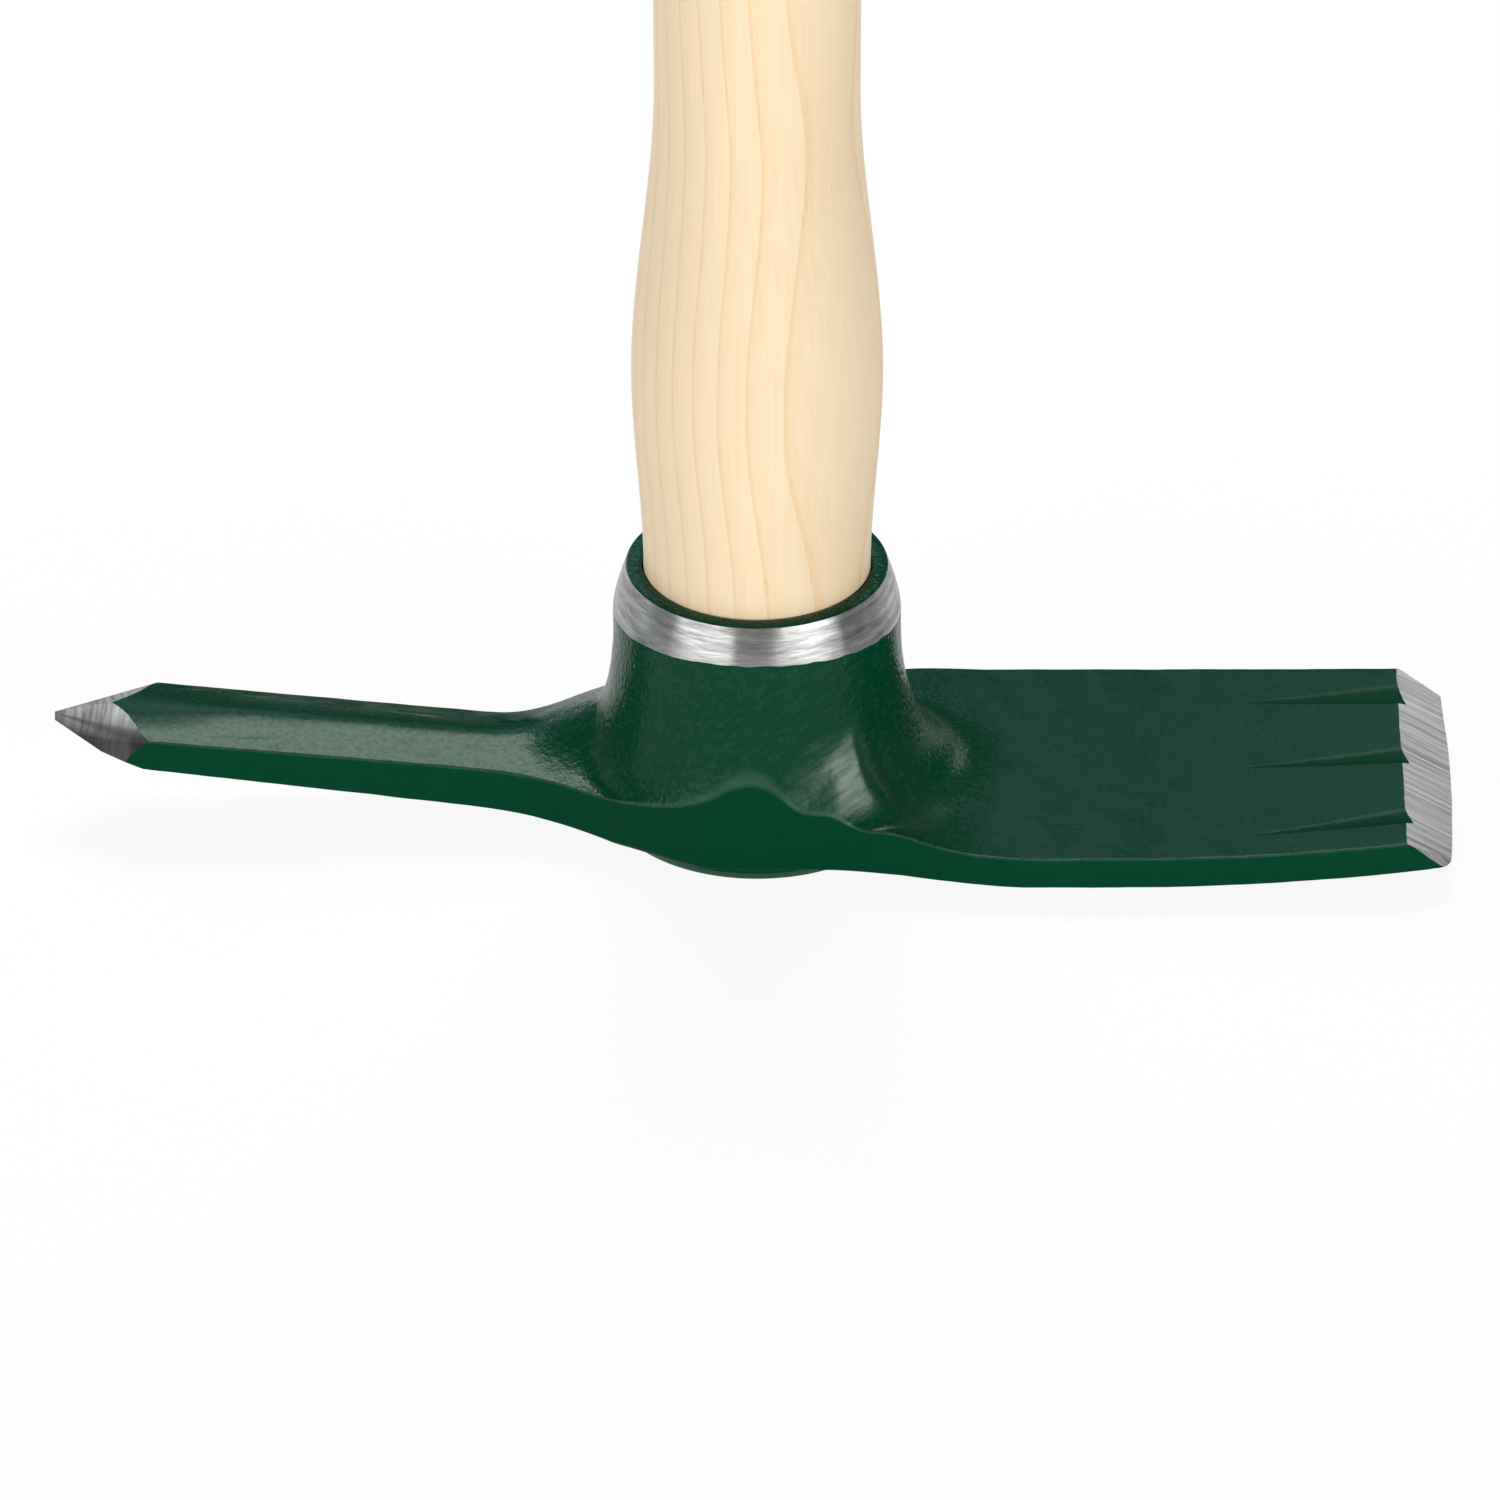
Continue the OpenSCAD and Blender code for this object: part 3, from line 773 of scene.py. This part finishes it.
ground_band, band_shader = ground_steel(
    "ground_band", grain=(2.6, 2.6, 0.2), turn=(0, 0, 0),
    dark=(0.22, 0.22, 0.215), light=(0.44, 0.44, 0.43), roughness=0.36)
band_shader.inputs["Anisotropic"].default_value = 0.8
band_shader.inputs["Anisotropic Rotation"].default_value = 0.25
ground_bevel, _ = ground_steel(
    "ground_bevel", grain=(7, 0.13, 7), turn=(0, 0, math.radians(-3)),
    dark=(0.27, 0.27, 0.27), light=(0.77, 0.77, 0.77), roughness=0.38)
ground_point, point_shader = ground_steel(
    "ground_point", grain=(0.5, 6, 6), turn=(0, math.radians(14), 0),
    dark=(0.2, 0.2, 0.195), light=(0.54, 0.54, 0.52), roughness=0.62)

# The point's colour is darker towards its lower edge: painted shade, standing for the darker reflection on
# its lower facet
dark_below, bright_above = 14.6 * mm, 19 * mm
deepest_painted_shade = 0.13
tree = ground_point.node_tree
point_tone = point_shader.inputs["Base Color"].links[0].from_socket
object_place = add_node(tree, "ShaderNodeTexCoord").outputs["Object"]
point_height = measured(tree, "DOT_PRODUCT", object_place, (0, 0.25, 1))
bright = ranged(tree, point_height, dark_below, bright_above, deepest_painted_shade, 1.0)
# Painted shade: the point's stroke tone is scaled down towards its lower edge
painted_shade_tone = add_node(tree, "ShaderNodeVectorMath", {0: point_tone, "Scale": bright}, operation="SCALE")
tree.links.new(painted_shade_tone.outputs["Vector"], point_shader.inputs["Base Color"])

head = bpy.data.objects.new("head_forging", head_mesh)
for finish in (green_paint, trimmed_paint, rim_paint, ground_band, ground_bevel, ground_point):
    head_mesh.materials.append(finish)
scene.collection.objects.link(head)
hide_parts("head")
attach(head, "root")


# Handle
# Ash, turned on a copy lathe: a tapered tenon in the eye, a swell above it, a slim neck, a
# belly for the hand and a rounded knob. Its end is sawn and grooved for the two wedges.
handle_low, handle_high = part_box("handle")
wedge_low, wedge_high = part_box("wooden_wedge")
ring_low, ring_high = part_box("ring_wedge")
handle_fit = 0.1 * mm
knob_round = 9 * mm
# Each station: name, height, radius, and the way of the surface up to the next one
stations = [
    ("Foot", handle_low.z, foot_r - handle_fit, "LINEAR"),
    ("Waist", waist_z, waist_r - handle_fit, "LINEAR"),
    ("Throat", throat_z, throat_r - handle_fit, "LINEAR"),
    ("Mouth", eye_height, throat_r - handle_fit, "SMOOTHSTEP"),
    ("Swell", 82 * mm, 20.43 * mm, "SMOOTHSTEP"),
    ("Neck", 134 * mm, 16.6 * mm, "SMOOTHSTEP"),
    ("Belly", 238 * mm, 17.7 * mm, "SMOOTHSTEP"),
    ("Grip", 330 * mm, 15.9 * mm, "SMOOTHSTEP"),
    ("Knob", handle_high.z - knob_round, 18.8 * mm, None)]
lathe = bpy.data.node_groups.new("turned_handle", "GeometryNodeTree")
lathe.interface.new_socket("Geometry", in_out="OUTPUT", socket_type="NodeSocketGeometry")
lathe_sizes = {"Top Height": handle_high.z, "Knob Round": knob_round}
for name, height, radius, _ in stations:
    lathe_sizes[name + " Height"] = height
    lathe_sizes[name + " Radius"] = radius
lathe_sockets = {
    name: lathe.interface.new_socket(name, in_out="INPUT", socket_type="NodeSocketFloat")
    for name in lathe_sizes}
wood_socket = lathe.interface.new_socket("Wood", in_out="INPUT", socket_type="NodeSocketMaterial")
sizes = add_node(lathe, "NodeGroupInput").outputs
blank = add_node(lathe, "GeometryNodeMeshCylinder", {
    "Vertices": 144, "Side Segments": 420, "Fill Segments": 6, "Radius": 1.0, "Depth": 1.0},
    fill_type="TRIANGLE_FAN")
position = add_node(lathe, "ShaderNodeSeparateXYZ", {
    "Vector": add_node(lathe, "GeometryNodeInputPosition").outputs["Position"]}).outputs
lifted = calculated(lathe, "ADD", position["Z"], 0.5)
up = calculated(lathe, "SINE", calculated(lathe, "MULTIPLY", lifted, math.pi / 2))
length = calculated(lathe, "SUBTRACT", sizes["Top Height"], sizes["Foot Height"])
height = calculated(lathe, "MULTIPLY_ADD", up, length, sizes["Foot Height"])
radius = sizes["Foot Radius"]
for (name, _, _, way), (after, _, _, _) in zip(stations, stations[1:]):
    change = calculated(lathe, "SUBTRACT", sizes[after + " Radius"], sizes[name + " Radius"])
    grown = add_node(lathe, "ShaderNodeMapRange", {
        "Value": height, "From Min": sizes[name + " Height"], "From Max": sizes[after + " Height"],
        "To Min": 0.0, "To Max": change}, interpolation_type=way).outputs["Result"]
    radius = calculated(lathe, "ADD", radius, grown)
near_top = add_node(lathe, "ShaderNodeMapRange", {
    "Value": height, "From Min": sizes["Knob Height"], "From Max": sizes["Top Height"]}).outputs["Result"]
minus_top = calculated(lathe, "MULTIPLY", near_top, -1.0)
round_left = calculated(lathe, "SQRT", calculated(lathe, "MULTIPLY_ADD", near_top, minus_top, 1.0))
round_cut = calculated(lathe, "MULTIPLY", sizes["Knob Round"], calculated(lathe, "SUBTRACT", 1.0, round_left))
radius = calculated(lathe, "SUBTRACT", radius, round_cut)
turned = add_node(lathe, "ShaderNodeCombineXYZ", {
    "X": calculated(lathe, "MULTIPLY", position["X"], radius),
    "Y": calculated(lathe, "MULTIPLY", position["Y"], radius), "Z": height})
shaped = add_node(lathe, "GeometryNodeSetPosition", {
    "Geometry": blank.outputs["Mesh"], "Position": turned.outputs["Vector"]})
realized = add_node(lathe, "GeometryNodeRealizeInstances", {"Geometry": shaped.outputs["Geometry"]})
coated = add_node(lathe, "GeometryNodeSetMaterial", {
    "Geometry": realized.outputs["Geometry"], "Material": sizes["Wood"]})
add_node(lathe, "NodeGroupOutput", {"Geometry": coated.outputs["Geometry"]})

# Pale ash: growth rings cross the handle at a slant, so that they show as long lines on the
# front and as pointed arches on the right, with fine pores and streaks along the grain
ash_wood, tree, shader, place = new_material("ash_wood")
pale_ash = (0.90, 0.725, 0.50)
warm_ash = (0.85, 0.65, 0.42)
ring_brown = (0.82, 0.56, 0.29)
pore_brown = (0.66, 0.42, 0.20)
ring_pitch = 3.9 * mm
pith_away = 200 * mm
pith = (-0.73 * pith_away, 0.68 * pith_away, 0)
grain_lean = 0.03
last_ring = 16.5 * mm
last_ring_z = 75 * mm
slow_shift = 1.5 * mm
fine_shift = 0.4 * mm
slow_wave = stretched_noise(tree, place, (60, 60, 90), 2.0)
fine_wave = stretched_noise(tree, place, (11, 11, 45), 2.0)
growth = measured(tree, "DISTANCE", flattened(tree, place), pith)
growth = calculated(tree, "ADD", growth, measured(tree, "DOT_PRODUCT", place, (0, 0, grain_lean)))
growth = calculated(tree, "ADD", growth, ranged(tree, slow_wave, 0.0, 1.0, -slow_shift, slow_shift))
growth = calculated(tree, "ADD", growth, ranged(tree, fine_wave, 0.0, 1.0, -fine_shift, fine_shift))
growth = calculated(tree, "SUBTRACT", growth, pith_away + last_ring + last_ring_z * grain_lean)
year = calculated(tree, "FRACT", calculated(tree, "DIVIDE", growth, ring_pitch))
early_wood = add_node(tree, "ShaderNodeValToRGB", {"Fac": year})
for spot, grey in zip(early_wood.color_ramp.elements, (1.0, 0.0)):
    spot.color = (grey, grey, grey, 1)
early_wood.color_ramp.elements[1].position = 0.5
for at, grey in ((0.06, 0.9), (0.14, 0.3), (0.93, 0.0)):
    early_wood.color_ramp.elements.new(at).color = (grey, grey, grey, 1)
streak = stretched_noise(tree, place, (0.7, 0.7, 30), 3.0)
pore = stretched_noise(tree, place, (0.35, 0.35, 5), 1.0)
pore_mask = calculated(
    tree, "MULTIPLY", ranged(tree, pore, 0.58, 0.72, 0.0, 1.0), early_wood.outputs["Color"])
streak_share, ring_share, pore_share = 0.5, 0.6, 0.35
tint = mixed_colour(tree, ranged(tree, streak, 0.35, 0.7, 0.0, streak_share), pale_ash, warm_ash)
ring_mask = calculated(tree, "MULTIPLY", early_wood.outputs["Color"], ring_share)
lined = mixed_colour(tree, ring_mask, tint, ring_brown)
pored = mixed_colour(tree, calculated(tree, "MULTIPLY", pore_mask, pore_share), lined, pore_brown)
wood_bump = add_node(tree, "ShaderNodeBump", {
    "Height": calculated(tree, "SUBTRACT", streak, pore_mask), "Strength": 0.25, "Distance": 0.03 * mm})
tree.links.new(pored, shader.inputs["Base Color"])
tree.links.new(ranged(tree, streak, 0.3, 0.7, 0.42, 0.55), shader.inputs["Roughness"])
tree.links.new(wood_bump.outputs["Normal"], shader.inputs["Normal"])
shader.inputs["IOR"].default_value = 1.3

handle = bpy.data.objects.new("ash_handle", bpy.data.meshes.new("handle_blank"))
scene.collection.objects.link(handle)
turning = handle.modifiers.new("turning", "NODES")
turning.node_group = lathe
for name, socket in lathe_sockets.items():
    turning[socket.identifier] = lathe_sizes[name]
turning[wood_socket.identifier] = ash_wood

# Cutters for the kerf and the ring's groove, a little wider than the wedges
kerf_spare = 3 * mm
wedge_half = (wedge_high.y - wedge_low.y) / 2
wedge_tip_half = 0.8 * mm
kerf_reach = 2 * foot_r
ring_wedge_r = (ring_high.x - ring_low.x) / 2
ring_wall = 2.4 * mm
ring_tip_wall = 0.5 * mm
ring_steps = 96
ring_weld = 1e-6
past_end = 1 * mm
cutter_mesh = bmesh.new()
kerf_section = [
    (-wedge_half - handle_fit, wedge_low.z - past_end),
    (wedge_half + handle_fit, wedge_low.z - past_end),
    (wedge_tip_half + handle_fit, wedge_high.z + kerf_spare),
    (-wedge_tip_half - handle_fit, wedge_high.z + kerf_spare)]
kerf_side = cutter_mesh.faces.new([cutter_mesh.verts.new((-kerf_reach, y, z)) for y, z in kerf_section])
kerf_end = bmesh.ops.extrude_face_region(cutter_mesh, geom=[kerf_side])["geom"]
kerf_end_verts = [v for v in kerf_end if isinstance(v, bmesh.types.BMVert)]
bmesh.ops.translate(cutter_mesh, vec=(2 * kerf_reach, 0, 0), verts=kerf_end_verts)
bmesh.ops.recalc_face_normals(cutter_mesh, faces=cutter_mesh.faces[:])
kerf_cutter = bpy.data.objects.new("kerf_cutter", bpy.data.meshes.new("kerf_cutter"))
cutter_mesh.to_mesh(kerf_cutter.data)
cutter_mesh.free()
ring_mesh = bmesh.new()
ring_middle = ring_wedge_r - ring_wall / 2
groove_section = [
    (ring_middle - ring_wall / 2 - handle_fit, ring_low.z - past_end),
    (ring_middle + ring_wall / 2 + handle_fit, ring_low.z - past_end),
    (ring_middle + ring_tip_wall / 2 + handle_fit, ring_high.z + handle_fit),
    (ring_middle - ring_tip_wall / 2 - handle_fit, ring_high.z + handle_fit)]
section_verts = [ring_mesh.verts.new((r, 0, z)) for r, z in groove_section]
section_after = section_verts[1:] + section_verts[:1]
section_edges = [ring_mesh.edges.new(pair) for pair in zip(section_verts, section_after)]
bmesh.ops.spin(
    ring_mesh, geom=section_verts + section_edges, cent=(0, 0, 0), axis=(0, 0, 1), angle=2 * math.pi,
    steps=ring_steps)
bmesh.ops.remove_doubles(ring_mesh, verts=ring_mesh.verts[:], dist=ring_weld)
bmesh.ops.recalc_face_normals(ring_mesh, faces=ring_mesh.faces[:])
groove_cutter = bpy.data.objects.new("groove_cutter", bpy.data.meshes.new("groove_cutter"))
ring_mesh.to_mesh(groove_cutter.data)
ring_mesh.free()
for cutter in (kerf_cutter, groove_cutter):
    scene.collection.objects.link(cutter)
    sawing = handle.modifiers.new(cutter.name, "BOOLEAN")
    sawing.operation = "DIFFERENCE"
    sawing.solver = "EXACT"
    sawing.object = cutter
turned_handle = handle.evaluated_get(bpy.context.evaluated_depsgraph_get())
handle_mesh = bpy.data.meshes.new_from_object(turned_handle)
handle.modifiers.clear()
handle.data = handle_mesh
for cutter in (kerf_cutter, groove_cutter):
    bpy.data.objects.remove(cutter)
handle_mesh.materials.clear()
handle_mesh.materials.append(ash_wood)
handle_mesh.polygons.foreach_set("material_index", [0] * len(handle_mesh.polygons))
handle_mesh.shade_smooth()
crisp_wood = math.radians(38)
handle_mesh.set_sharp_from_angle(angle=crisp_wood)
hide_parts("handle")
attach(handle, "root")


# Wedges
# A hardwood wedge driven into the kerf and a drawn steel ring driven in across it, which
# spread the wood in the eye's flared foot. Both are trimmed level with the end of the handle.
wedge_wood, tree, shader, place = new_material("wedge_wood")
wedge_dark = (0.30, 0.16, 0.07)
wedge_light = (0.55, 0.35, 0.18)
wedge_grain = stretched_noise(tree, place, (1.1, 3.8, 3.8), 3.0)
tree.links.new(mixed_colour(tree, wedge_grain, wedge_dark, wedge_light), shader.inputs["Base Color"])
wedge_bump = add_node(tree, "ShaderNodeBump", {"Height": wedge_grain, "Strength": 0.4, "Distance": 0.1 * mm})
tree.links.new(wedge_bump.outputs["Normal"], shader.inputs["Normal"])
tree.links.new(ranged(tree, wedge_grain, 0.3, 0.7, 0.55, 0.75), shader.inputs["Roughness"])
drawn_steel, _ = ground_steel(
    "drawn_steel", grain=(3.3, 3.3, 0.33), turn=(0, 0, 0),
    dark=(0.34, 0.34, 0.35), light=(0.58, 0.58, 0.59), roughness=0.36)
for node, finish in (("wooden_wedge", wedge_wood), ("ring_wedge", drawn_steel)):
    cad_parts[node].data.materials.clear()
    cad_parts[node].data.materials.append(finish)


# Studio
# A plain white table under the eye. A strong soft lamp stands high behind the tool, with wide
# ones low in front on the left and right, and a dim front lamp, a cool one on the left and
# three low ones behind give the paint and the bright steel something to reflect.
floor_half = 4.0
floor_mesh = bpy.data.meshes.new("table")
floor_gap = 0.2 * mm
floor_z = cad_low.z - floor_gap
floor_mesh.from_pydata([
    (-floor_half, -floor_half, floor_z), (floor_half, -floor_half, floor_z),
    (floor_half, floor_half, floor_z), (-floor_half, floor_half, floor_z)], [], [(0, 1, 2, 3)])
table_white = bpy.data.materials.new("table_white")
table_white.use_nodes = True
tree = table_white.node_tree
tree.nodes.clear()
path = add_node(tree, "ShaderNodeLightPath").outputs
seen = calculated(tree, "MAXIMUM", path["Is Camera Ray"], calculated(
    tree, "MAXIMUM", path["Is Glossy Ray"], path["Is Transmission Ray"]))
matt_white = add_node(tree, "ShaderNodeBsdfDiffuse", {"Color": (0.86, 0.86, 0.86, 1)})
plain_white = add_node(tree, "ShaderNodeEmission", {"Color": (1, 1, 1, 1), "Strength": 1.03})
white_share = 0.88
table_mix = add_node(tree, "ShaderNodeMixShader", {
    0: calculated(tree, "MULTIPLY", seen, white_share), 1: matt_white.outputs["BSDF"],
    2: plain_white.outputs["Emission"]})
add_node(tree, "ShaderNodeOutputMaterial", {"Surface": table_mix.outputs["Shader"]})
floor_mesh.materials.append(table_white)
table = bpy.data.objects.new("table", floor_mesh)
scene.collection.objects.link(table)

world = bpy.data.worlds.new("studio")
world.use_nodes = True
world.node_tree.nodes.clear()
sky = add_node(world.node_tree, "ShaderNodeBackground", {"Color": (0.04, 0.04, 0.045, 1), "Strength": 1.0})
add_node(world.node_tree, "ShaderNodeOutputWorld", {"Surface": sky.outputs["Background"]})
scene.world = world


def add_softbox(name, turn, rise, distance, width, height, brightness, colour=(1, 1, 1)):
    """A soft lamp aimed at the eye: turn is from the camera's side, rise above the table, in degrees"""
    lamp = bpy.data.lights.new(name, "AREA")
    lamp.shape = "RECTANGLE"
    lamp.size = width
    lamp.size_y = height
    lamp.energy = brightness * math.pi * width * height
    lamp.color = colour
    made = bpy.data.objects.new(name, lamp)
    turn, rise = math.radians(turn), math.radians(rise)
    away = Vector((math.sin(turn) * math.cos(rise), -math.cos(turn) * math.cos(rise), math.sin(rise)))
    made.location = distance * away
    made.rotation_mode = "QUATERNION"
    made.rotation_quaternion = away.to_track_quat("Z", "Y")
    scene.collection.objects.link(made)


add_softbox("lamp_above", turn=179, rise=57, distance=1.4, width=0.6, height=0.46, brightness=14.0)
add_softbox("lamp_left", turn=-43, rise=14, distance=1.3, width=1.1, height=0.6, brightness=4.4)
add_softbox("lamp_right", turn=41, rise=11, distance=1.3, width=1.05, height=0.4, brightness=7.6)
add_softbox("lamp_front", turn=0, rise=14, distance=1.3, width=0.7, height=0.5, brightness=0.6)
add_softbox(
    "lamp_rim", turn=-106, rise=18, distance=1.4, width=0.3, height=0.9, brightness=1.9,
    colour=(0.8, 0.9, 1.0))
add_softbox(
    "lamp_sky", turn=-160, rise=32, distance=1.7, width=1.2, height=0.2, brightness=2.7,
    colour=(0.5, 0.7, 1.0))
add_softbox("lamp_back_left", turn=-158, rise=18, distance=1.7, width=0.3, height=0.25, brightness=3.4)
add_softbox("lamp_back_right", turn=152, rise=18, distance=1.7, width=0.35, height=0.25, brightness=3.4)

scene.view_settings.view_transform = "Standard"
